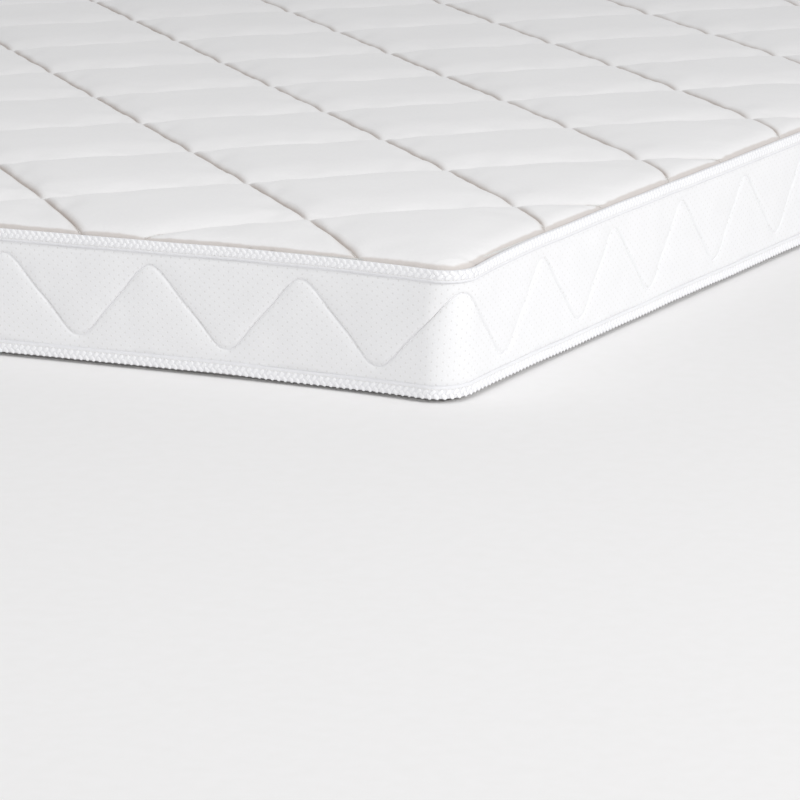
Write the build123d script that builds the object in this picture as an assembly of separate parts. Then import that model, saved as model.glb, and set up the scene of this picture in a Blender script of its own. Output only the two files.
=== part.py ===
from build123d import *
from math import atan2, ceil, cos, degrees, floor, hypot, pi, sin, sqrt, tan
import os

# Memory foam mattress with a quilted, tape-edged cover, in millimetres.
#
# +Z is up, +Y runs to the head end, and the origin is the centre of the underside. Two foam slabs,
# glued together and slid into a stretch sock, lie in a sewn cover made of a quilted top panel, a
# quilted border strip round the four sides and a plain bottom panel. At both rims the raw edges of
# panel and border stand side by side in a folded edge tape and are stitched through it.
# An inset is a distance inwards from the outer face of the border fabric.

# Overall size, over the edge tapes and over the crown of the top panel.
overall_width = 1600.0
overall_length = 2000.0
overall_thickness = 150.0
corner_radius = 36.0

# Cloth, foam and thread.
ticking_thickness = 1.0
backing_thickness = 0.4
sock_thickness = 0.8
tape_thickness = 1.2
thread_thickness = 0.5
thread_width = 1.0
memory_foam_thickness = 30.0
glue_thickness = 0.3

# Quilted top panel and the diamonds sewn into it.
quilt_thickness = 16.0
crown_rise = 18.0
core_edge_radius = 12.0
diamond_half_width = 157.0
diamond_half_length = 152.4
diamond_node_x = 409.2
diamond_node_y = -1026.7
channel_depth = 10.0
channel_bottom_half_width = 2.0
channel_top_half_width = 18.0
diamond_stitch_margin = 6.0
wadding_trim = 4.0

# Border strip and the wave sewn into it.
border_wadding_thickness = 6.5
wave_period = 171.4
wave_height = 79.0
wave_sharpness = 0.08
wave_peak_x = 283.8
stitch_length = 20.0
corner_stitch_length = 7.0
stitch_gap = 1.0
join_from_side = 260.0
join_slit_width = 0.4
join_stitch_length = 5.0
join_stitch_pitch = 8.0

# Edge tapes: how far each leg reaches from its fold, and how the tape is sewn.
tape_outer_leg = 12.6
tape_inner_leg = 10.0
tape_fold_radius = 0.9
tape_stitch_from_fold = 8.8

# Bottom panel and sock.
bottom_rim_rise = 4.0
bottom_edge_radius = 8.0
sock_seam_height = 2.0
sock_seam_length = 1300.0

# Room left between the sewn parts.
tape_to_panel_clearance = 0.4
tape_to_hem_clearance = 0.7
border_to_sock_clearance = 0.7

# Levels, from the floor up.
top_rim = overall_thickness - crown_rise
bottom_rim = bottom_rim_rise
middle_level = (top_rim + bottom_rim) / 2
channel_bottom = overall_thickness - channel_depth
sock_bottom = ticking_thickness
sock_top = overall_thickness - quilt_thickness
memory_foam_top = sock_top - sock_thickness
memory_foam_bottom = memory_foam_top - memory_foam_thickness
support_foam_top = memory_foam_bottom - glue_thickness
support_foam_bottom = sock_bottom + sock_thickness
top_ply_end = top_rim - tape_thickness
bottom_ply_end = bottom_rim + tape_thickness
top_hem = top_rim - tape_inner_leg - tape_to_hem_clearance - ticking_thickness
bottom_hem = bottom_rim + tape_inner_leg + tape_to_hem_clearance
top_backing_hem = top_hem - backing_thickness
border_top = top_backing_hem - backing_thickness
border_bottom = bottom_hem + ticking_thickness + backing_thickness

# Insets of the plies that stand side by side in a tape: border, its backing, then the panel.
border_backing_edge = ticking_thickness
panel_edge = border_backing_edge + backing_thickness
top_ticking_edge = panel_edge + backing_thickness
top_tape_inside = top_ticking_edge + ticking_thickness
bottom_tape_inside = panel_edge + ticking_thickness

# Insets of what lies further in.
top_panel_inset = top_tape_inside + tape_thickness + tape_to_panel_clearance
bottom_panel_inset = bottom_tape_inside + tape_thickness + tape_to_panel_clearance
top_lining_inset = top_panel_inset + ticking_thickness
border_backing_inset = ticking_thickness + border_wadding_thickness
border_inside = border_backing_inset + backing_thickness
sock_inset = border_inside + border_to_sock_clearance
core_inset = sock_inset + sock_thickness

# The border's outer face, followed anticlockwise from the left end of the foot end's flat.
width = overall_width - 2 * tape_thickness
length = overall_length - 2 * tape_thickness
flat_x = width - 2 * corner_radius
flat_y = length - 2 * corner_radius
quarter_turn = corner_radius * pi / 2
way_round = 2 * (flat_x + flat_y) + 4 * quarter_turn
join_x = join_from_side - width / 2
join_along = flat_x + flat_y + 2 * quarter_turn + flat_x / 2 - join_x


def outline(inset):
    return RectangleRounded(width - 2 * inset, length - 2 * inset, corner_radius - inset)


def block(inset, low, high):
    """Everything further in than inset, between two levels."""
    return extrude(Pos(0, 0, low) * outline(inset), high - low)


def ring(outside, inside, low, high):
    """A closed band between two insets and two levels."""
    return extrude(Pos(0, 0, low) * (outline(outside) - outline(inside)), high - low)


def rounded_at(body, level, radius):
    """The body with the edges of its flat face at that level rounded."""
    face = min(body.faces().filter_by(Axis.Z), key=lambda f: abs(f.center().Z - level))
    return fillet(face.edges(), radius)


def cap(inset, low, high, radius):
    """A block with its upper edge rounded, cut off level at low."""
    return rounded_at(block(inset, 0, high), high, radius) - block(inset - 1, -1, low)


# Foam core.


def core(inset, low, high):
    """The core's shape with its edges rounded, for the sock's outside or the foam's."""
    drawn_in = inset - sock_inset
    body = rounded_at(block(inset, low, high), high, core_edge_radius - drawn_in)
    return rounded_at(body, low, bottom_edge_radius - drawn_in)


def foam_slab(low, high):
    return core(core_inset, support_foam_bottom, memory_foam_top) & block(core_inset - 1, low, high)


def core_sock():
    inside = core(core_inset, support_foam_bottom, memory_foam_top)
    return core(sock_inset, sock_bottom, sock_top) - inside


def sock_end_stitching():
    """The seams that close the sock, one across the head end and one across the foot end."""
    out = length / 2 - sock_inset + thread_thickness / 2
    seam = Box(sock_seam_length, thread_thickness, sock_seam_height)
    return Compound([Pos(0, end * out, middle_level) * seam for end in (-1, 1)])


# Quilted top panel.


def diamond_lines(lean):
    """Middle and direction of each line of one family; lean is 1 or -1."""
    reach_across = (width / 2 + abs(diamond_node_x)) / diamond_half_width
    reach_along = (length / 2 + abs(diamond_node_y)) / diamond_half_length
    count = ceil((reach_across + reach_along) / 2)
    direction = Vector(lean * diamond_half_width, diamond_half_length).normalized()
    lines = []
    for k in range(-count, count + 1):
        through = Vector(diamond_node_x, diamond_node_y + 2 * k * diamond_half_length)
        middle = through - direction * through.dot(direction)
        if middle.length < hypot(width, length) / 2 - corner_radius:
            lines.append((middle, direction))
    return lines


def channels(offset):
    """The valleys pressed along all diamond lines, moved by offset for the layer below."""
    rise = channel_depth / (channel_top_half_width - channel_bottom_half_width)
    low = channel_bottom - offset
    high = overall_thickness + ticking_thickness
    bottom = channel_bottom_half_width + offset * tan(atan2(rise, 1) / 2)
    top = bottom + (high - low) / rise
    profile = Polygon((-bottom, low), (bottom, low), (top, high), (-top, high), align=None)
    reach = hypot(width, length)
    valleys = []
    for lean in (-1, 1):
        for middle, direction in diamond_lines(lean):
            across = direction.cross(Vector(0, 0, 1))
            section = Plane(middle + direction * reach / 2, x_dir=across, z_dir=direction * -1)
            valleys.append(extrude(section * profile, reach))
    return valleys


def quilted(inset, low, offset):
    """The top panel's shape down to low, moved in from the ticking's outer face by offset."""
    return cap(inset, low, overall_thickness - offset, crown_rise - offset) - channels(offset)


def top_ticking():
    """Face fabric of the top panel, its edge turned out and up into the tape."""
    skin = quilted(top_panel_inset, top_hem, 0) - quilted(top_lining_inset, 0, ticking_thickness)
    hem = ring(top_ticking_edge, top_lining_inset, top_hem, top_hem + ticking_thickness)
    edge = ring(top_ticking_edge, top_tape_inside, top_hem, top_ply_end)
    return skin + hem + edge


def lining_cap(inset, low, high):
    """The shape over the rounded edge of the core, for one face of the top panel's backing."""
    drawn_in = inset - top_lining_inset - backing_thickness
    return cap(inset, low, high, core_edge_radius - drawn_in)


def top_wadding():
    """Fibre wadding, thick in the diamonds and thin along their lines."""
    low = sock_top - core_edge_radius + wadding_trim
    filled = quilted(top_lining_inset, low, ticking_thickness)
    return filled - lining_cap(top_lining_inset, 0, sock_top + backing_thickness)


def top_backing():
    """Backing below the wadding, its edge beside the ticking's in the tape."""
    inside = top_lining_inset + backing_thickness
    sheet = lining_cap(top_lining_inset, top_backing_hem, sock_top + backing_thickness)
    sheet -= lining_cap(inside, 0, sock_top)
    hem = ring(panel_edge, inside, top_backing_hem, top_hem)
    edge = ring(panel_edge, top_ticking_edge, top_backing_hem, top_ply_end)
    return sheet + hem + edge


def diamond_stitching(lean, level):
    """The threads of one family of lines, lying along the bottoms of the channels."""
    field = block(top_panel_inset + diamond_stitch_margin, level, level + thread_thickness)
    threads = []
    for middle, direction in diamond_lines(lean):
        bar = Box(hypot(width, length), thread_width, thread_thickness)
        turn = Rot(0, 0, degrees(atan2(direction.Y, direction.X)))
        seat = Pos(middle.X, middle.Y, level + thread_thickness / 2)
        threads += (field & seat * turn * bar).solids()
    return Compound(threads)


# Border strip.


def border_ticking():
    """Face fabric of the border, its two ends meeting at a seam at the head end."""
    strip = ring(0, ticking_thickness, bottom_ply_end, top_ply_end)
    slit = Box(join_slit_width, 4 * ticking_thickness, overall_thickness)
    return strip - Pos(join_x, length / 2, middle_level) * slit


def border_wadding():
    return ring(ticking_thickness, border_backing_inset, border_bottom, border_top)


def border_backing():
    """Backing behind the wadding, stepped out to stand beside the ticking in both tapes."""
    backing = ring(border_backing_inset, border_inside, border_bottom, border_top)
    for step, low, high in (
        (border_top, border_top, top_ply_end),
        (border_bottom - backing_thickness, bottom_ply_end, border_bottom),
    ):
        backing += ring(border_backing_edge, border_inside, step, step + backing_thickness)
        backing += ring(border_backing_edge, panel_edge, low, high)
    return backing


def border_place(along):
    """The point on the border's face after that distance, and how far the face has turned there."""
    along %= way_round
    start = Vector(-flat_x / 2, -length / 2)
    heading = Vector(1, 0)
    turned = 0
    for flat in (flat_x, flat_y, flat_x, flat_y):
        if along <= flat:
            return start + heading * along, turned
        along -= flat
        left = Vector(-heading.Y, heading.X)
        centre = start + heading * flat + left * corner_radius
        if along < quarter_turn:
            angle = along / corner_radius
            spot = centre + (heading * sin(angle) - left * cos(angle)) * corner_radius
            return spot, turned + degrees(angle)
        along -= quarter_turn
        start = centre + heading * corner_radius
        heading = left
        turned += 90


def wave_level(along):
    """Height of the sewn wave: straight flanks with round peaks and valleys."""
    phase = 2 * pi * (along - way_round - flat_x / 2 - wave_peak_x) / wave_period
    swing = cos(phase) + wave_sharpness * cos(3 * phase)
    return middle_level + wave_height / 2 * swing / (1 + wave_sharpness)


def surface_stitch(start, end, low, high, seat):
    """A stitch on an upright face, from one point and level to another, standing off by seat."""
    run = end - start
    reach = hypot(run.length, high - low)
    facing = atan2(run.Y, run.X)
    outwards = Vector(sin(facing), -cos(facing)) * (seat + thread_thickness / 2)
    middle = (start + end) / 2 + outwards
    turn = Rot(0, 0, degrees(facing)) * Rot(0, -degrees(atan2(high - low, run.length)), 0)
    return Pos(middle.X, middle.Y, (low + high) / 2) * turn * Box(reach, thread_thickness, thread_width)


def border_quilting_thread():
    """The wave's stitches, shorter on the corners, where each stands off by the bow it spans."""
    stitches = []
    along = join_along + stitch_length
    while along < join_along + way_round - stitch_length:
        steepness = hypot(1, wave_level(along + 1) - wave_level(along))
        reach = stitch_length / steepness
        seat = 0
        if border_place(along)[1] % 90 or border_place(along + reach)[1] % 90:
            reach = corner_stitch_length / steepness
            seat = corner_radius - sqrt(corner_radius**2 - (reach / 2) ** 2)
        begin = along + stitch_gap / steepness
        along += reach
        start, end = border_place(begin)[0], border_place(along)[0]
        stitches.append(surface_stitch(start, end, wave_level(begin), wave_level(along), seat))
    return Compound(stitches)


def border_join_stitching():
    """Short stitches across the seam between the two ends of the border strip."""
    stitch = Box(join_stitch_length, thread_thickness, thread_width)
    count = floor((border_top - border_bottom) / join_stitch_pitch)
    stitches = []
    for k in range(count):
        level = middle_level + (k - (count - 1) / 2) * join_stitch_pitch
        stitches.append(Pos(join_x, length / 2 + thread_thickness / 2, level) * stitch)
    return Compound(stitches)


# Edge tapes. Each is bent in a U over the rim's plies, with a sunk row of stitching round it.


def tape_stitch_row(level):
    low = level - thread_width / 2
    return ring(-tape_thickness, thread_thickness - tape_thickness, low, low + thread_width)


def top_edge_tape():
    low = top_rim - tape_outer_leg
    body = ring(-tape_thickness, top_tape_inside + tape_thickness, low, top_rim)
    tape = rounded_at(body, top_rim, tape_fold_radius)
    tape -= ring(0, top_tape_inside, low, top_ply_end)
    tape -= ring(top_tape_inside, top_panel_inset, low, top_rim - tape_inner_leg)
    return tape - tape_stitch_row(top_rim - tape_stitch_from_fold)


def bottom_edge_tape():
    high = bottom_rim + tape_outer_leg
    body = ring(-tape_thickness, bottom_tape_inside + tape_thickness, bottom_rim, high)
    tape = rounded_at(body, bottom_rim, tape_fold_radius)
    tape -= ring(0, bottom_tape_inside, bottom_ply_end, high)
    tape -= ring(bottom_tape_inside, bottom_panel_inset, bottom_rim + tape_inner_leg, high)
    return tape - tape_stitch_row(bottom_rim + tape_stitch_from_fold)


def bottom_ticking():
    """Plain bottom panel, its edge turned out and down into the lower tape."""
    high = bottom_hem + ticking_thickness
    inside = bottom_panel_inset + ticking_thickness
    inner_radius = bottom_edge_radius - ticking_thickness
    skin = rounded_at(block(bottom_panel_inset, 0, high), 0, bottom_edge_radius)
    skin -= rounded_at(block(inside, ticking_thickness, high), ticking_thickness, inner_radius)
    hem = ring(panel_edge, inside, bottom_hem, high)
    edge = ring(panel_edge, bottom_tape_inside, bottom_ply_end, high)
    return skin + hem + edge


os.makedirs("parts", exist_ok=True)
export_step(foam_slab(support_foam_bottom, support_foam_top), "parts/support_foam.step")
export_step(foam_slab(support_foam_top, memory_foam_bottom), "parts/foam_glue_film.step")
export_step(foam_slab(memory_foam_bottom, memory_foam_top), "parts/memory_foam.step")
export_step(core_sock(), "parts/core_sock.step")
export_step(sock_end_stitching(), "parts/sock_end_stitching.step")
export_step(bottom_ticking(), "parts/bottom_ticking.step")
export_step(border_ticking(), "parts/border_ticking.step")
export_step(border_wadding(), "parts/border_wadding.step")
export_step(border_backing(), "parts/border_backing.step")
export_step(border_quilting_thread(), "parts/border_quilting_thread.step")
export_step(border_join_stitching(), "parts/border_join_stitching.step")
export_step(top_ticking(), "parts/top_ticking.step")
export_step(top_wadding(), "parts/top_wadding.step")
export_step(top_backing(), "parts/top_backing.step")
export_step(diamond_stitching(1, channel_bottom), "parts/lower_diamond_stitching.step")
export_step(diamond_stitching(-1, channel_bottom + thread_thickness), "parts/upper_diamond_stitching.step")
export_step(top_edge_tape(), "parts/top_edge_tape.step")
export_step(bottom_edge_tape(), "parts/bottom_edge_tape.step")
export_step(tape_stitch_row(top_rim - tape_stitch_from_fold), "parts/top_tape_stitching.step")
export_step(tape_stitch_row(bottom_rim + tape_stitch_from_fold), "parts/bottom_tape_stitching.step")
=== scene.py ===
from math import cos, hypot, pi, radians, sin

import bpy
import bmesh
import numpy as np
from mathutils import Matrix, Vector


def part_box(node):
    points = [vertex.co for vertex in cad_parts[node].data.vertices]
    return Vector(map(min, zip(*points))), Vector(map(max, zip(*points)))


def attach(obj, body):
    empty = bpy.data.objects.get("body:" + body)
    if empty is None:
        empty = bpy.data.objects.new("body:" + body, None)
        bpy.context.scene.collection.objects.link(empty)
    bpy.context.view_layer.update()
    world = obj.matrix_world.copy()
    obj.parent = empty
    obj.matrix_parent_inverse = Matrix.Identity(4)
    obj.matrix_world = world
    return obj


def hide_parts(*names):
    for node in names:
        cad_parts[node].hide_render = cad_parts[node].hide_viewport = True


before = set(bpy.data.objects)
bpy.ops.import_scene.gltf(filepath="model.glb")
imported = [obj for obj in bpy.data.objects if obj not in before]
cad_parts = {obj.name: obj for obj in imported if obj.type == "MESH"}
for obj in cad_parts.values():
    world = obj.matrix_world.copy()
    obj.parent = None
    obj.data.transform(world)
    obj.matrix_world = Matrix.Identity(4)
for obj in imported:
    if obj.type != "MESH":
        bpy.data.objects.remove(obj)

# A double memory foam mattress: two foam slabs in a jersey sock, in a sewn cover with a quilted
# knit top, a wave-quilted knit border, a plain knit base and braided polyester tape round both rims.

bpy.ops.object.select_all(action="DESELECT")
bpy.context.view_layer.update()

# The room: a plain pale floor under the mattress, a large softbox at its right side, weak ones in
# front of it and over its near corner, and white walls all round.

bpy.ops.mesh.primitive_plane_add(size=30, location=(0, 0, -0.0004))
floor = bpy.context.object
floor.name = "floor"

bpy.ops.object.camera_add()
camera = bpy.context.object
camera.data.lens = 189.1
camera.data.clip_end = 60
camera.matrix_world = (
    Matrix.Translation((2.591, -4.509, 0.894))
    @ Matrix.Rotation(radians(27.875), 4, "Z")
    @ Matrix.Rotation(radians(90 - 12.759), 4, "X")
    @ Matrix.Rotation(radians(-0.964), 4, "Z")
)
bpy.context.scene.camera = camera
bpy.context.scene.view_settings.view_transform = "Standard"


def softbox(name, place, aim, size, power):
    """A square area light at place, turned to face aim."""
    bpy.ops.object.light_add(type="AREA", location=place)
    light = bpy.context.object
    light.name = name
    light.data.size = size
    light.data.energy = power
    light.rotation_euler = (Vector(aim) - light.location).to_track_quat("-Z", "Y").to_euler()


softbox("side_softbox", (5.4, -1.9, 2.1), (0.4, 0, 0.1), 1.5, 112)
softbox("front_softbox", (-0.6, -4.6, 1.0), (0, -0.8, 0.1), 1.6, 15)
softbox("near_softbox", (1.2, -1.9, 2.3), (0.4, -0.7, 0.1), 0.9, 6.5)
world = bpy.data.worlds.new("white_room")
bpy.context.scene.world = world
world.use_nodes = True
world.node_tree.nodes["Background"].inputs["Color"].default_value = (0.985, 0.99, 1.0, 1)
world.node_tree.nodes["Background"].inputs["Strength"].default_value = 0.61


def linear(code):
    """An sRGB hex colour as the linear values that a shader takes."""
    channels = [int(code[k:k + 2], 16) / 255 for k in (1, 3, 5)]
    return tuple(c / 12.92 if c <= 0.04045 else ((c + 0.055) / 1.055) ** 2.4 for c in channels) + (1,)


def add(tree, kind, links=None, values=None, **settings):
    """Adds a node with its settings, the values of its inputs and what is linked to them."""
    node = tree.nodes.new(kind)
    for name, setting in settings.items():
        setattr(node, name, setting)
    for key, value in (values or {}).items():
        node.inputs[key].default_value = value
    for key, source in (links or {}).items():
        tree.links.new(source, node.inputs[key])
    return node


def matt_finish(name):
    """A new material, its node tree and its shader, with cloth's usual matt surface."""
    material = bpy.data.materials.new(name)
    material.use_nodes = True
    tree = material.node_tree
    shader = tree.nodes["Principled BSDF"]
    shader.inputs["Roughness"].default_value = 0.9
    shader.inputs["Specular IOR Level"].default_value = 0.25
    return material, tree, shader


floor_paper, tree, shader = matt_finish("matt_white_floor")
place = add(tree, "ShaderNodeTexCoord").outputs["Object"]
grain = add(tree, "ShaderNodeTexNoise", {"Vector": place}, {"Scale": 60.0, "Detail": 3.0})
tone = add(
    tree, "ShaderNodeMix", {"Factor": grain.outputs["Fac"]},
    {"A": linear("#F3F2F1"), "B": linear("#F7F6F6")}, data_type="RGBA",
)
tree.links.new(tone.outputs["Result"], shader.inputs["Base Color"])
floor.data.materials.append(floor_paper)

# Foam core: a firm polyurethane slab, glued under a slab of memory foam. Both are cut from blocks,
# so their faces show sliced cells, small in the memory foam and larger in the firm foam.


def foam_finish(name, light, dark, cell_mm, depth_mm):
    """Cut foam: cells of one size, each a small pit, with a cloudy tone across the slab."""
    material, tree, shader = matt_finish(name)
    place = add(tree, "ShaderNodeTexCoord").outputs["Object"]
    cells = add(tree, "ShaderNodeTexVoronoi", {"Vector": place}, {"Scale": 1000 / cell_mm})
    clouds = add(tree, "ShaderNodeTexNoise", {"Vector": place}, {"Scale": 6.0, "Detail": 4.0})
    tone = add(
        tree, "ShaderNodeMix", {"Factor": clouds.outputs["Fac"]},
        {"A": linear(dark), "B": linear(light)}, data_type="RGBA",
    )
    bump = add(
        tree, "ShaderNodeBump", {"Height": cells.outputs["Distance"]},
        {"Strength": 0.6, "Distance": depth_mm / 1000},
    )
    tree.links.new(tone.outputs["Result"], shader.inputs["Base Color"])
    tree.links.new(bump.outputs["Normal"], shader.inputs["Normal"])
    return material


def give(node, material):
    """Puts a material in every slot of a node that keeps its own shape."""
    mesh = bpy.data.objects[node].data
    for k in range(len(mesh.materials)):
        mesh.materials[k] = material


give("support_foam", foam_finish("polyurethane_foam", "#E9E6DB", "#DDD9CC", 1.6, 0.6))
give("memory_foam", foam_finish("memory_foam", "#F0EBD3", "#E6E0C4", 0.8, 0.3))
give("foam_glue_film", foam_finish("dried_contact_glue", "#D9CFA8", "#C9BD92", 4.0, 0.2))


# Stretch sock and backings: thin plain jersey round the foam, closed by an overlocked seam at each
# end, and spunbonded polypropylene behind the quilting. Jersey shows fine ribs, nonwoven fine diagonal ribs.


def ribbed_finish(name, light, dark, rib_mm, depth_mm, across="X"):
    """Plain knit: even ribs a stitch apart, in a slightly cloudy tone."""
    material, tree, shader = matt_finish(name)
    place = add(tree, "ShaderNodeTexCoord").outputs["Object"]
    ribs = add(
        tree, "ShaderNodeTexWave", {"Vector": place}, {"Scale": 1000 / rib_mm / 20, "Distortion": 0.4},
        bands_direction=across,
    )
    clouds = add(tree, "ShaderNodeTexNoise", {"Vector": place}, {"Scale": 14.0, "Detail": 5.0})
    tone = add(
        tree, "ShaderNodeMix", {"Factor": clouds.outputs["Fac"]},
        {"A": linear(dark), "B": linear(light)}, data_type="RGBA",
    )
    bump = add(
        tree, "ShaderNodeBump", {"Height": ribs.outputs["Fac"]},
        {"Strength": 0.5, "Distance": depth_mm / 1000},
    )
    tree.links.new(tone.outputs["Result"], shader.inputs["Base Color"])
    tree.links.new(bump.outputs["Normal"], shader.inputs["Normal"])
    shader.inputs["Sheen Weight"].default_value = 0.15
    return material


sock_jersey = ribbed_finish("polyester_jersey", "#EFEEEC", "#E4E3E0", 1.2, 0.3)
give("core_sock", sock_jersey)
backing_fleece = ribbed_finish("spunbonded_nonwoven", "#EDEDEB", "#DFDFDC", 2.0, 0.15, "DIAGONAL")
give("top_backing", backing_fleece)
give("border_backing", backing_fleece)
sewing_thread = ribbed_finish("spun_polyester_thread", "#F1F0EE", "#E2E1DE", 0.7, 0.2)
give("sock_end_stitching", sewing_thread)

# The cover's outline: the border's outer face, followed anticlockwise seen from above, from the
# left end of the foot end's flat. Everything sewn at the rims is laid out along it.

border_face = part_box("border_ticking")[1]
face_x, face_y = border_face[0], border_face[1]
rim_low, rim_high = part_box("bottom_edge_tape")[0][2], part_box("top_edge_tape")[1][2]
tape_width = 0.0126
corner = 0.036
flats = (2 * (face_x - corner), 2 * (face_y - corner))
quarter = corner * pi / 2
way_round = 2 * sum(flats) + 4 * quarter


def rim(along):
    """Points on the border's face after those distances, and the way out of the face there."""
    along = np.mod(along, way_round)
    point = np.zeros(along.shape + (2,))
    out = np.zeros(along.shape + (2,))
    start = np.array([-flats[0] / 2, -face_y])
    heading = np.array([1.0, 0.0])
    passed = 0.0
    for flat in flats * 2:
        right = np.array([heading[1], -heading[0]])
        here = (along >= passed) & (along <= passed + flat)
        point[here] = start + heading * (along[here] - passed)[:, None]
        out[here] = right
        passed += flat
        turning = (along > passed) & (along <= passed + quarter)
        angle = ((along[turning] - passed) / corner)[:, None]
        centre = start + heading * flat - right * corner
        out[turning] = right * np.cos(angle) + heading * np.sin(angle)
        point[turning] = centre + out[turning] * corner
        start = centre + heading * corner
        heading = -right
        passed += quarter
    return point, out


def ripple(values, period, seed, octaves=3):
    """A smooth unrepeating wobble between about -1 and 1, along one coordinate."""
    values = np.asarray(values, dtype=float)
    total = np.zeros_like(values)
    generator = np.random.default_rng(seed)
    for k in range(octaves):
        step = period / 1.9**k
        total += np.sin(2 * pi * values / step + generator.uniform(0, 2 * pi)) / 1.6**k
        total += np.sin(2 * pi * values / (step * 1.37) + generator.uniform(0, 2 * pi)) / 1.6**k
    return total / 3


def drawn_out(points):
    """The points of the cover, its corners drawn out by the tapes and its upper rim dipping there."""
    points = np.array(points, dtype=float)
    short_x, short_y = face_x - np.abs(points[:, 0]), face_y - np.abs(points[:, 1])
    up = np.clip(points[:, 2] / rim_high, 0, 1)
    towards_x = (0.007 + 0.011 * up) * np.exp(-np.abs(short_y) / 0.10 - np.abs(short_x) / 0.09)
    towards_y = (0.029 - 0.007 * up) * np.exp(-np.abs(short_x) / 0.10 - np.abs(short_y) / 0.09)
    points[:, 0] += np.sign(points[:, 0]) * towards_x
    points[:, 1] += np.sign(points[:, 1]) * towards_y
    points[:, 2] -= 0.003 * up**2 * np.exp(-np.abs(short_x) / 0.20 - np.abs(short_y) / 0.20)
    return points


def mesh_piece(name, points, faces, material):
    """An object made of those points and faces, riding on the mattress."""
    points = drawn_out(points)
    mesh = bpy.data.meshes.new(name)
    mesh.from_pydata([tuple(p) for p in points], [], [tuple(f) for f in faces])
    mesh.validate()
    piece = bpy.data.objects.new(name, mesh)
    bpy.context.collection.objects.link(piece)
    mesh.materials.append(material)
    mesh.polygons.foreach_set("use_smooth", [True] * len(mesh.polygons))
    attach(piece, "root")
    return piece


def swept(name, along, insets, levels, material, closed):
    """A strip round the cover: a section given by rows of insets and levels at each step along."""
    steps, rows = insets.shape
    point, out = rim(along)
    flat = point[:, None, :] - out[:, None, :] * insets[:, :, None]
    points = np.concatenate([flat, levels[:, :, None]], axis=2).reshape(-1, 3)
    faces = []
    last = rows if closed else rows - 1
    for i in range(steps):
        j = (i + 1) % steps
        for r in range(last):
            q = (r + 1) % rows
            faces.append((i * rows + r, j * rows + r, j * rows + q, i * rows + q))
    piece = mesh_piece(name, points, faces, material)
    layer = piece.data.uv_layers.new(name="along_and_up")
    loops = np.empty(len(piece.data.loops), dtype=int)
    piece.data.loops.foreach_get("vertex_index", loops)
    u = np.repeat(along, rows)[loops]
    corner_of_last = np.repeat(np.arange(len(faces)) // last == steps - 1, 4)
    u = np.where(corner_of_last & (loops < rows), u + way_round, u)
    v = levels.reshape(-1)[loops]
    layer.data.foreach_set("uv", np.stack([u, v], axis=1).ravel())
    return piece


# Base panel: one piece of plain warp knit, pulled round the lower edge of the foam and up into the
# lower tape. It is flat where the mattress lies on it and pulls in between its fixings.

base_knit = ribbed_finish("plain_warp_knit", "#E9E8E6", "#DEDDDA", 1.8, 0.4)
base_rings = [
    (0.0021, 0.0150), (0.0036, 0.0152), (0.0040, 0.0120), (0.0041, 0.0085), (0.0050, 0.0052),
    (0.0074, 0.0022), (0.0105, 0.0006), (0.0150, 0.0), (0.0300, 0.0),
]
steps = int(way_round / 0.010)
along = np.arange(steps) * way_round / steps
insets = np.array([r[0] for r in base_rings])[None, :] + 0.0003 * ripple(along, 0.4, 3)[:, None]
levels = np.repeat(np.array([r[1] for r in base_rings])[None, :], steps, axis=0)
levels[:, 3:6] += 0.0004 * ripple(along, 0.25, 4)[:, None]
base_panel = swept("base_panel", along, insets, levels, base_knit, closed=False)
edit = bmesh.new()
edit.from_mesh(base_panel.data)
rows = len(base_rings)
edit.verts.ensure_lookup_table()
underside = edit.faces.new([edit.verts[i * rows + rows - 1] for i in range(steps)])
bmesh.ops.recalc_face_normals(edit, faces=edit.faces)
edit.normal_update()
if underside.normal.z > 0:
    bmesh.ops.reverse_faces(edit, faces=edit.faces)
edit.to_mesh(base_panel.data)
edit.free()
thicken = base_panel.modifiers.new("cloth", "SOLIDIFY")
thicken.thickness = 0.001
thicken.offset = -1
bpy.context.view_layer.objects.active = base_panel
bpy.ops.object.modifier_apply(modifier="cloth")
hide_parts("bottom_ticking")

# Border: a strip of dotted double knit, quilted to wadding and backing in a zigzag wave before it
# is cut. The lockstitch pulls a narrow groove, and the knit swells a little on both sides of it.

wave_period, wave_height, wave_sharpness, wave_peak = 0.1714, 0.079, 0.08, 0.2838
join = flats[0] + flats[1] + 2 * quarter + flats[0] / 2 - (0.260 - face_x)


def wave(along):
    """Height of the sewn wave, counted so that its break comes at the join of the strip."""
    along = np.where(along > join, along - way_round, along)
    phase = 2 * pi * (along - flats[0] / 2 - wave_peak) / wave_period
    swing = np.cos(phase) + wave_sharpness * np.cos(3 * phase)
    return (rim_low + rim_high) / 2 + wave_height / 2 * swing / (1 + wave_sharpness)


border_low, border_high = rim_low + 0.005, rim_high - 0.005
steps = int(way_round / 0.0045)
along = np.arange(steps) * way_round / steps
half_rows = 13
share = (np.arange(1, half_rows + 1) / half_rows) ** 2.0
middle = wave(along)[:, None]
levels = np.concatenate(
    [middle - (middle - border_low) * share[::-1], middle, middle + (border_high - middle) * share], axis=1,
)
slope = (wave(along + 0.0005) - wave(along - 0.0005)) / 0.001
slope = np.where(np.abs(slope) > 3, 0, slope)
apart = np.abs(levels - middle) / np.hypot(1, slope)[:, None]
to_rim = np.minimum(levels - rim_low, rim_high - levels) - tape_width
free = 1 - np.exp(-np.clip(to_rim, 0, None) / 0.008)
swell = 0.0013 * (1 - np.exp(-apart / 0.012)) + 0.0004 * ripple(along, 0.16, 5)[:, None]
groove = 0.0018 * np.exp(-((apart / 0.0010) ** 2)) + 0.0007 * np.exp(-apart / 0.006)
seam = np.abs(along - join)[:, None]
groove += 0.0030 * np.exp(-((seam / 0.003) ** 2))
pucker = 0.00035 * ripple(along, 0.021, 6, 2)[:, None] * np.exp(-((apart - 0.006) / 0.006) ** 2)
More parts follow.
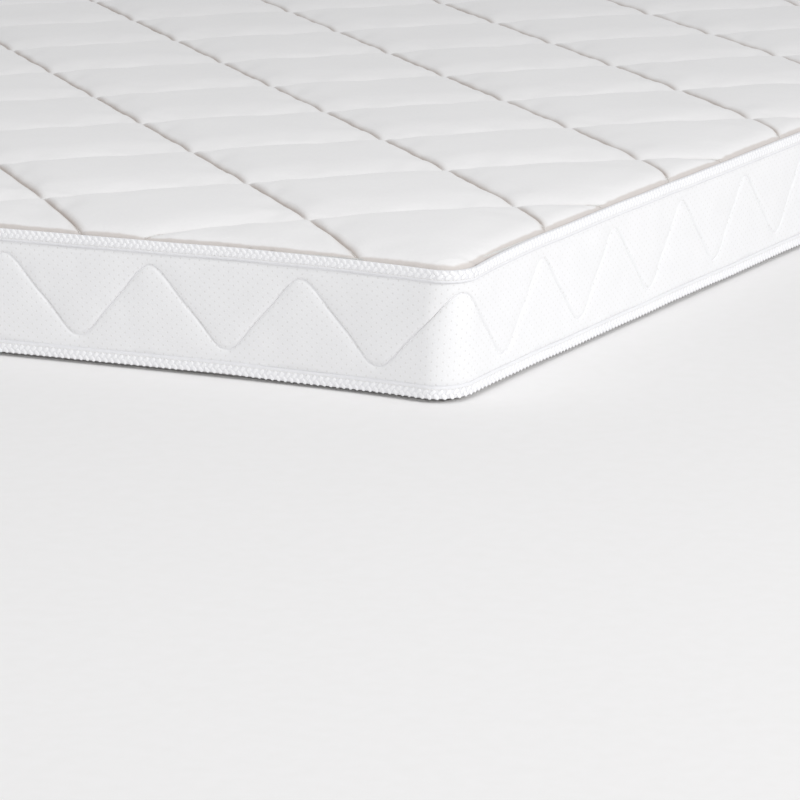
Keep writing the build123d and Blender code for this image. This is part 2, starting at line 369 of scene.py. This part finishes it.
insets = 0.0003 + (groove - swell - pucker) * free

border_knit, tree, shader = matt_finish("dotted_double_knit")
sheet_place = add(tree, "ShaderNodeUVMap", uv_map="along_and_up").outputs["UV"]
# The dots stand in a staggered lattice, 11 mm apart along the strip and 9 mm up it.
dots_at = add(
    tree, "ShaderNodeVectorMath", {0: sheet_place}, {1: (2 * pi / 0.011, 2 * pi / 0.009, 0)},
    operation="MULTIPLY",
).outputs["Vector"]
dots_at = add(tree, "ShaderNodeSeparateXYZ", {"Vector": dots_at})
across = add(tree, "ShaderNodeMath", {0: dots_at.outputs["X"]}, operation="COSINE")
upward = add(tree, "ShaderNodeMath", {0: dots_at.outputs["Y"]}, operation="COSINE")
upright = add(tree, "ShaderNodeMath", {0: across.outputs["Value"]}, {1: 3.0}, operation="POWER")
lattice = add(
    tree, "ShaderNodeMath", {0: upright.outputs["Value"], 1: upward.outputs["Value"]}, operation="MULTIPLY",
)
dot = add(
    tree, "ShaderNodeMapRange", {"Value": lattice.outputs["Value"]}, {"From Min": 0.62, "From Max": 0.95},
    interpolation_type="SMOOTHSTEP",
)
clouds = add(tree, "ShaderNodeTexNoise", {"Vector": sheet_place}, {"Scale": 30.0, "Detail": 5.0})
ground = add(
    tree, "ShaderNodeMix", {"Factor": clouds.outputs["Fac"]},
    {"A": linear("#EEEEEF"), "B": linear("#F5F5F6")}, data_type="RGBA",
)
tone = add(
    tree, "ShaderNodeMix", {"Factor": dot.outputs["Result"], "A": ground.outputs["Result"]},
    {"B": linear("#E6E5E4")}, data_type="RGBA",
)
tree.links.new(tone.outputs["Result"], shader.inputs["Base Color"])
stitches = add(tree, "ShaderNodeTexNoise", {"Vector": sheet_place}, {"Scale": 550.0, "Detail": 2.0})
fine = add(
    tree, "ShaderNodeBump", {"Height": stitches.outputs["Fac"]}, {"Strength": 0.25, "Distance": 0.0006},
)
dimple = add(
    tree, "ShaderNodeBump", {"Height": dot.outputs["Result"], "Normal": fine.outputs["Normal"]},
    {"Strength": 0.22, "Distance": 0.0008}, invert=True,
)
tree.links.new(dimple.outputs["Normal"], shader.inputs["Normal"])
shader.inputs["Sheen Weight"].default_value = 0.2

quilted_border = swept("quilted_border", along, insets, levels, border_knit, closed=False)
edit = bmesh.new()
edit.from_mesh(quilted_border.data)
ends = [e for e in edit.edges if e.is_boundary]
for lift, back in ((0, 0.0012), (0.0105, 0), (0, 0.0058)):
    grown = bmesh.ops.extrude_edge_only(edit, edges=ends)["geom"]
    ends = [g for g in grown if isinstance(g, bmesh.types.BMEdge)]
    for v in {v for e in ends for v in e.verts}:
        inward = -1 if v.co.z > (rim_low + rim_high) / 2 else 1
        v.co.z += inward * lift
        side_x, side_y = max(abs(v.co.x) - (face_x - corner), 0), max(abs(v.co.y) - (face_y - corner), 0)
        reach = hypot(side_x, side_y)
        v.co.x -= np.sign(v.co.x) * back * side_x / reach
        v.co.y -= np.sign(v.co.y) * back * side_y / reach
bmesh.ops.bridge_loops(edit, edges=ends)
bmesh.ops.recalc_face_normals(edit, faces=edit.faces)
edit.to_mesh(quilted_border.data)
edit.free()
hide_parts("border_ticking", "border_wadding")


# Lockstitches: a thread of spun polyester comes up, runs a few millimetres and goes down again.
# One stitch is shaped from a ball, and copies of it lie end to end along each sewn line.


def stitch_shape(segments, rings):
    """The points and faces of a stitch one unit long, wide and high, lying along X."""
    bpy.ops.mesh.primitive_uv_sphere_add(segments=segments, ring_count=rings, radius=0.5)
    ball = bpy.context.object
    bpy.ops.object.mode_set(mode="EDIT")
    bpy.ops.mesh.select_all(action="SELECT")
    bpy.ops.transform.rotate(value=pi / 2, orient_axis="Y", center_override=(0, 0, 0))
    bpy.ops.object.mode_set(mode="OBJECT")
    points = np.array([v.co for v in ball.data.vertices])
    faces = [list(p.vertices) for p in ball.data.polygons]
    bpy.data.objects.remove(ball)
    points[:, 0] = np.sign(points[:, 0]) * (np.abs(points[:, 0]) * 2) ** 0.7 / 2
    return points, faces


def lay(name, shape, places, runs, sides, ups, material, slot):
    """Copies of a shape as one piece: each at its place, with its run, side and up as its axes."""
    points, faces = shape
    axes = np.stack([runs, sides, ups], axis=1)
    laid = places[:, None, :] + np.einsum("pk,nkc->npc", points, axes)
    count = len(points)
    copied = [[v + n * count for v in face] for n in range(len(places)) for face in faces]
    return mesh_piece(name, laid.reshape(-1, 3), copied, material)


def along_rim(along, inset, level):
    """Points beside the border's face, with the ways along it and out of it."""
    point, out = rim(along)
    inset = np.broadcast_to(inset, along.shape)[:, None]
    place = np.column_stack([point - out * inset, np.broadcast_to(level, along.shape)])
    outward = np.column_stack([out, np.zeros(len(along))])
    onward = np.column_stack([-out[:, 1], out[:, 0], np.zeros(len(along))])
    return place, onward, outward


stitch = stitch_shape(6, 4)
fine_steps = np.arange(0, way_round, 0.0005)
climbs = np.minimum(np.abs(np.diff(wave(fine_steps))), 0.002)
path = np.concatenate([[0], np.cumsum(np.hypot(0.0005, climbs))])
along = np.interp(np.arange(0, path[-1], 0.0042), path, fine_steps)
along = along[np.abs(along - join) > 0.006]
place, onward, outward = along_rim(along, 0.0028, wave(along))
steep = ((wave(along + 0.0005) - wave(along - 0.0005)) / 0.001)[:, None]
run = (onward + steep * np.array([0, 0, 1])) / np.hypot(1, steep)
side = np.cross(outward, run)
wave_stitches = lay(
    "wave_stitches", stitch, place, run * 0.0036, side * 0.0006, outward * 0.0006,
    sewing_thread, "sewing_thread",
)
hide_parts("border_quilting_thread")
give("border_join_stitching", sewing_thread)

# Top panel: smooth double knit over fibre wadding, sewn through in diamonds by a multi-needle
# machine, then pulled down over the foam's edge. The cloth is simulated: the sewn lines are held,
# the wadding pushes it up, and a little spare cloth gathers into puckers beside the seams.

half_across, half_along = 0.157, 0.1524
node_x, node_y = 0.4092, -1.0267
line_gap = 2 * half_across * half_along / hypot(half_across, half_along)
sewn_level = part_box("lower_diamond_stitching")[0][2] + 0.0002
crease_level = rim_high - 0.0080
crease_inset = 0.0050
# From the crease the sewn cloth rises in three shares: the tuck beside the tape, the roll over the
# foam's edge, and the low crown of the whole panel.
tuck_share, roll_share, crown_share = 0.555, 0.150, 0.295
tuck_reach, roll, crown_reach = 0.0020, 0.065, 0.25
fill_height = 0.0080
furthest = 0.003


def shoulder(inset):
    """Level of the sewn cloth over the foam's edge, from the crease up, without the crown."""
    u = np.clip((inset - crease_inset) / roll, 0, 1)
    risen = tuck_share * (1 - np.exp(-u * roll / tuck_reach)) + roll_share * (1 - (1 - u) ** 2)
    return crease_level + (sewn_level - crease_level) * risen


curve_inset = crease_inset + roll * np.linspace(0, 1, 400) ** 2
curve_level = shoulder(curve_inset)
curve_length = np.concatenate([[0], np.cumsum(np.hypot(np.diff(curve_inset), np.diff(curve_level)))])
spare = curve_length[-1] - roll


def over_edge(x, y):
    """Where the flat quilt's points come to lie: point, way out of the cloth, and way in from the hem."""
    rounded = corner - crease_inset + spare
    side_x = np.abs(x) - (face_x - corner)
    side_y = np.abs(y) - (face_y - corner)
    both = (side_x > 0) & (side_y > 0)
    reach = np.where(both, np.hypot(side_x, side_y), np.maximum(side_x, side_y))
    hem = rounded - reach
    out_x = np.where(both, side_x / np.maximum(reach, 1e-9), side_x > side_y) * np.sign(x)
    out_y = np.where(both, side_y / np.maximum(reach, 1e-9), side_x <= side_y) * np.sign(y)
    inset = np.interp(hem, curve_length, curve_inset)
    level = np.interp(hem, curve_length, curve_level)
    in_x = np.clip((face_x - np.abs(x)) / crown_reach, 0, 1)
    in_y = np.clip((face_y - np.abs(y)) / crown_reach, 0, 1)
    crown = in_x * (2 - in_x) * in_y * (2 - in_y)
    level = level + crown_share * (sewn_level - crease_level) * crown
    pull = np.where(hem < curve_length[-1], hem - (inset - crease_inset) - spare, 0)
    ahead = np.interp(hem + 0.001, curve_length, curve_level)
    rise = np.clip((ahead - level) / 0.001, 0, 0.97)
    point = np.stack([x + out_x * pull, y + out_y * pull, level], axis=-1)
    away = np.stack([out_x * rise, out_y * rise, np.sqrt(1 - rise**2)], axis=-1)
    return point, away, hem


def puff(distance, sharp, slow_share):
    """How far the wadding has risen beside a sewn line: quickly at first, then slowly."""
    quick = (1 - slow_share) * (1 - np.exp(-distance / sharp))
    return quick + slow_share * (1 - np.exp(-distance / 0.026))


half_steps = 11
ramp = 0.5 * (np.arange(half_steps + 1) / half_steps) ** 2.05
cell = np.concatenate([ramp[:-1], 1 - ramp[:0:-1]])
reach_i, reach_j = (-4, 9), (-2, 12)
line_i = np.concatenate([k + cell for k in range(*reach_i)])
line_j = np.concatenate([k + cell for k in range(*reach_j)])
grid_i, grid_j = np.meshgrid(line_i, line_j, indexing="ij")
off_i = np.abs(grid_i - np.round(grid_i))
off_j = np.where(grid_j < -0.5, 0.5, np.abs(grid_j - np.round(grid_j)))
bow = 0.0022 * np.sin(pi * (grid_j - np.floor(grid_j))) * (1 - 2 * off_i)
flat_x = node_x + (grid_i - grid_j) * half_across - bow * 0.7
flat_y = node_y + (grid_i + grid_j) * half_along - bow * 0.7
point, away, hem = over_edge(flat_x, flat_y)

inside = hem > 0
near = inside.copy()
near[1:] |= inside[:-1]
near[:-1] |= inside[1:]
near[:, 1:] |= near[:, :-1].copy()
near[:, :-1] |= near[:, 1:].copy()
snapped_x, snapped_y = flat_x.copy(), flat_y.copy()
for _ in range(3):
    _, outward, short = over_edge(snapped_x, snapped_y)
    beyond = near & (short < 0)
    width_out = np.maximum(np.hypot(outward[..., 0], outward[..., 1]), 1e-9)
    snapped_x = np.where(beyond, snapped_x + outward[..., 0] / width_out * short, snapped_x)
    snapped_y = np.where(beyond, snapped_y + outward[..., 1] / width_out * short, snapped_y)
point, away, hem = over_edge(snapped_x, snapped_y)
generator = np.random.default_rng(11)
fullness = generator.uniform(0.92, 1.06, (40, 40))[
    (np.floor(grid_i) - reach_i[0]).astype(int), (np.floor(grid_j) - reach_j[0]).astype(int)
]
# The lines that were sewn last, under more tension, are the sharper.
height = fill_height * fullness * puff(off_i * line_gap, 0.0014, 0.30) * puff(off_j * line_gap, 0.0100, 0.25)
height *= 1 - np.exp(-np.clip(hem, 0, None) / 0.010)
point = point + away * height[..., None]

kept = -np.ones(point.shape[:2], dtype=int)
quads = near[:-1, :-1] & near[1:, :-1] & near[:-1, 1:] & near[1:, 1:]
quads &= inside[:-1, :-1] | inside[1:, :-1] | inside[:-1, 1:] | inside[1:, 1:]
used = np.zeros_like(near)
used[:-1, :-1] |= quads
used[1:, :-1] |= quads
used[:-1, 1:] |= quads
used[1:, 1:] |= quads
kept[used] = np.arange(used.sum())
faces = [
    (kept[i, j], kept[i + 1, j], kept[i + 1, j + 1], kept[i, j + 1]) for i, j in zip(*np.nonzero(quads))
]

top_knit, tree, shader = matt_finish("smooth_double_knit")
place = add(tree, "ShaderNodeTexCoord").outputs["Object"]
clouds = add(tree, "ShaderNodeTexNoise", {"Vector": place}, {"Scale": 9.0, "Detail": 6.0})
tone = add(
    tree, "ShaderNodeMix", {"Factor": clouds.outputs["Fac"]},
    {"A": linear("#EEEDED"), "B": linear("#F5F4F4")}, data_type="RGBA",
)
# Painted shade: the knit's colour is darkened along the sewn valleys, strongly in the falling lines and
# faintly in the rising ones, and in the crease where the panel goes under the tape, for the shade there.
painted_seam_shade_input = add(tree, "ShaderNodeAttribute", attribute_name="painted_seam_shade", attribute_type="GEOMETRY")
from_hem = add(tree, "ShaderNodeAttribute", attribute_name="hem", attribute_type="GEOMETRY")
# Painted shade in the crease beside the tape: darkest up to 8 mm from the hem, gone by 11 mm.
painted_crease_shade = add(
    tree, "ShaderNodeMapRange", {"Value": from_hem.outputs["Fac"]},
    {"From Min": 0.0080, "From Max": 0.0112, "To Min": 0.6, "To Max": 0.0},
    interpolation_type="SMOOTHSTEP",
)
painted_shade_amount = add(
    tree, "ShaderNodeMath", {0: painted_seam_shade_input.outputs["Fac"], 1: painted_crease_shade.outputs["Result"]}, operation="MAXIMUM",
)
# The painted shade colour, mixed in by that amount.
knit_with_painted_shade = add(
    tree, "ShaderNodeMix", {"Factor": painted_shade_amount.outputs["Value"], "A": tone.outputs["Result"]},
    {"B": linear("#C6BBB3")}, data_type="RGBA",
)
tree.links.new(knit_with_painted_shade.outputs["Result"], shader.inputs["Base Color"])
# The knit's stitches are under a millimetre, so they are drawn about twice as coarse.
loops = add(tree, "ShaderNodeTexNoise", {"Vector": place}, {"Scale": 420.0, "Detail": 2.0})
fine = add(
    tree, "ShaderNodeBump", {"Height": loops.outputs["Fac"]}, {"Strength": 0.3, "Distance": 0.0007},
)
gather = add(
    tree, "ShaderNodeTexNoise", {"Vector": place}, {"Scale": 38.0, "Detail": 3.0, "Distortion": 0.6},
)
uneven = add(
    tree, "ShaderNodeBump", {"Height": gather.outputs["Fac"], "Normal": fine.outputs["Normal"]},
    {"Strength": 0.25, "Distance": 0.0020},
)
tree.links.new(uneven.outputs["Normal"], shader.inputs["Normal"])
shader.inputs["Sheen Weight"].default_value = 0.2

quilted_top = mesh_piece("quilted_top", point[used], faces, top_knit)
# Painted shade along the seams: strong in the falling lines, faint in the rising ones, fading at the
# crossings.
painted_seam_shade = 0.8 * np.exp(-((off_i * line_gap / 0.0030) ** 2)) * (1 - np.exp(-off_j * line_gap / 0.012))
painted_seam_shade += 0.25 * np.exp(-off_j * line_gap / 0.0012) * (1 - np.exp(-off_i * line_gap / 0.012))
quilted_top.data.attributes.new("painted_seam_shade", "FLOAT", "POINT").data.foreach_set("value", painted_seam_shade[used])
quilted_top.data.attributes.new("hem", "FLOAT", "POINT").data.foreach_set("value", hem[used])

held = quilted_top.vertex_groups.new(name="held")
sewn = (off_i < 1e-6) | (off_j < 1e-6) | (hem < 0.004)
firmness = np.where(sewn, 1.0, 0.12 + 0.5 * np.exp(-np.minimum(off_i, off_j) * line_gap / 0.006))
for v, weight in enumerate(firmness[used]):
    held.add([v], float(weight), "REPLACE")
before = np.array([v.co for v in quilted_top.data.vertices])
cloth = quilted_top.modifiers.new("cloth", "CLOTH")
cloth.settings.quality = 4
cloth.settings.mass = 0.2
cloth.settings.tension_stiffness = 18
cloth.settings.compression_stiffness = 18
cloth.settings.shear_stiffness = 8
cloth.settings.bending_stiffness = 0.5
cloth.settings.vertex_group_mass = "held"
cloth.settings.pin_stiffness = 0.6
cloth.settings.shrink_min = -0.006
cloth.settings.use_pressure = True
cloth.settings.uniform_pressure_force = 0.25
cloth.settings.effector_weights.gravity = 0
cloth.collision_settings.use_collision = False
cloth.collision_settings.use_self_collision = False
cloth.point_cache.frame_end = 20
for step in range(1, 21):
    bpy.context.scene.frame_set(step)
bpy.context.view_layer.objects.active = quilted_top
bpy.ops.object.modifier_apply(modifier="cloth")
bpy.context.scene.frame_set(1)
moved = np.array([v.co for v in quilted_top.data.vertices]) - before
far = np.linalg.norm(moved, axis=1, keepdims=True)
moved *= np.minimum(1, furthest / np.maximum(far, 1e-9))
quilted_top.data.vertices.foreach_set("co", (before + moved).ravel())

smooth = quilted_top.modifiers.new("smooth", "SUBSURF")
smooth.levels = 1
smooth.render_levels = 1
bpy.context.view_layer.objects.active = quilted_top
bpy.ops.object.modifier_apply(modifier="smooth")

edit = bmesh.new()
edit.from_mesh(quilted_top.data)
ends = [e for e in edit.edges if e.is_boundary]
for inset, level in ((0.0066, 0.1277), (0.0100, 0.1322), (0.0178, 0.1347)):
    grown = bmesh.ops.extrude_edge_only(edit, edges=ends)["geom"]
    ends = [g for g in grown if isinstance(g, bmesh.types.BMEdge)]
    for v in {v for e in ends for v in e.verts}:
        side_x, side_y = max(abs(v.co.x) - (face_x - corner), 0), max(abs(v.co.y) - (face_y - corner), 0)
        reach = max(hypot(side_x, side_y), 1e-9)
        back = reach - (corner - inset)
        v.co.x -= np.sign(v.co.x) * back * side_x / reach
        v.co.y -= np.sign(v.co.y) * back * side_y / reach
        v.co.z = level
bmesh.ops.contextual_create(edit, geom=ends)
bmesh.ops.recalc_face_normals(edit, faces=edit.faces)
edit.to_mesh(quilted_top.data)
edit.free()
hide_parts("top_ticking", "top_wadding")

# Diamond stitches: the lockstitch thread that lies in the bottoms of the sewn valleys. The rising
# lines are sewn first and the falling ones across them.

for name, node, across in (
    ("rising_diamond_stitches", "lower_diamond_stitching", False),
    ("falling_diamond_stitches", "upper_diamond_stitching", True),
):
    pitch = 0.0045 / hypot(half_across, half_along)
    placed, runs = [], []
    for k in range(*(reach_i if across else (0, reach_j[1]))):
        t = np.arange(-4, 12, pitch)
        i, j = (np.full_like(t, k), t) if across else (t, np.full_like(t, k))
        bow = 0.0022 * np.sin(pi * (j - np.floor(j))) * across
        x = node_x + (i - j) * half_across - bow * 0.7
        y = node_y + (i + j) * half_along - bow * 0.7
        spot, away, short = over_edge(x, y)
        good = (short[:-1] > 0.006) & (short[1:] > 0.006)
        placed.append(((spot[:-1] + spot[1:]) / 2 + away[:-1] * 0.0004)[good])
        runs.append(((spot[1:] - spot[:-1]))[good])
    placed, runs = np.concatenate(placed), np.concatenate(runs)
    runs /= np.linalg.norm(runs, axis=1, keepdims=True)
    up = np.array([0, 0, 1.0])
    sides = np.cross(up, runs)
    sides /= np.linalg.norm(sides, axis=1, keepdims=True)
    ups = np.cross(runs, sides)
    row = lay(
        name, stitch_shape(5, 4), placed, runs * 0.0038, sides * 0.0009, ups * 0.0008,
        sewing_thread, "sewing_thread",
    )
    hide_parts(node)

# Edge tapes: polyester tape folded over the raw edges and chain-stitched through. Its visible side
# is a plait of two rows of slanting strands beside a plain selvage, and it waves a little where it
# was eased.

edge_tape = ribbed_finish("woven_polyester_tape", "#F2F2F4", "#E9E9EC", 0.9, 0.3, "DIAGONAL")
braid_yarn = ribbed_finish("braided_polyester_yarn", "#FBFBFC", "#F4F4F6", 0.6, 0.2)
braid_pitch = way_round / round(way_round / 0.0074)
braid_row = 0.0041
chain_line = 0.0092
tape_section = [
    (-0.0004, 0.0126), (-0.0010, 0.0124), (-0.0011, 0.0100), (-0.0009, 0.0092), (-0.0011, 0.0084),
    (-0.0012, 0.0050), (-0.0012, 0.0016), (-0.0009, 0.0006), (-0.0002, 0.0000), (0.0020, -0.0001),
    (0.0034, 0.0001), (0.0039, 0.0010), (0.0040, 0.0060), (0.0028, 0.0062), (0.0028, 0.0014),
    (0.0000, 0.0014), (-0.0001, 0.0126),
]
steps = int(way_round / 0.005)
lap = np.arange(steps) * way_round / steps


def eased(along, seed):
    """How far the tape's line strays up and out, where it was eased round the edge."""
    return 0.0007 * ripple(along, way_round / 19, seed), 0.0003 * ripple(along, way_round / 31, seed + 1)


for name, fold, down, inner, seed in (
    ("top_tape", rim_high, -1, 0.0, 21), ("bottom_tape", rim_low, 1, -0.0004, 31),
):
    stray, lean = eased(lap, seed)
    section = np.array(tape_section)
    insets = section[None, :, 0] + np.where(section[:, 0] > 0.001, inner, 0)[None, :] - lean[:, None] * 0.3
    hidden = np.where((section[:, 0] > 0.001) & (section[:, 1] > 0.004), 0, 1)
    levels = fold + down * section[None, :, 1] + np.clip(stray[:, None] * hidden, -0.0010, 0.0010)
    tape = swept(name, lap, insets, levels, edge_tape, closed=True)
    edit = bmesh.new()
    edit.from_mesh(tape.data)
    bmesh.ops.recalc_face_normals(edit, faces=edit.faces)
    edit.to_mesh(tape.data)
    edit.free()
    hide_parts("top_edge_tape" if down < 0 else "bottom_edge_tape")

    pitches = np.arange(round(way_round / braid_pitch)) * braid_pitch
    spots, runs, sides, outs = [], [], [], []
    for row in range(2):
        at = pitches + braid_pitch * (0.25 + 0.5 * row)
        stray, lean = eased(at, seed)
        level = fold + down * (0.0002 + braid_row * (row + 0.5)) + np.clip(stray, -0.0010, 0.0010)
        place, onward, outward = along_rim(at, -0.0011 - lean * 0.3, level)
        run = onward * braid_pitch / 2 - (-1) ** row * braid_row * np.array([0, 0, 1.0])
        reach = np.linalg.norm(run, axis=1, keepdims=True)
        spots.append(place)
        runs.append(run * 1.25)
        sides.append(np.cross(outward, run / reach) * 0.0044)
        outs.append(outward * 0.0009)
    lay(
        name.replace("tape", "braid"), stitch_shape(8, 5),
        *map(np.concatenate, (spots, runs, sides, outs)), braid_yarn, "edge_tape",
    )

    at = np.arange(0, way_round, 0.0034)
    stray, lean = eased(at, seed)
    level = fold + down * chain_line + np.clip(stray, -0.0010, 0.0010)
    place, onward, outward = along_rim(at, -0.0009 - lean * 0.3, level)
    side = np.cross(outward, onward)
    row = lay(
        name.replace("tape", "tape_stitches"), stitch, place,
        onward * 0.0028, side * 0.0009, outward * 0.0008, sewing_thread, "sewing_thread",
    )
    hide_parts("top_tape_stitching" if down < 0 else "bottom_tape_stitching")
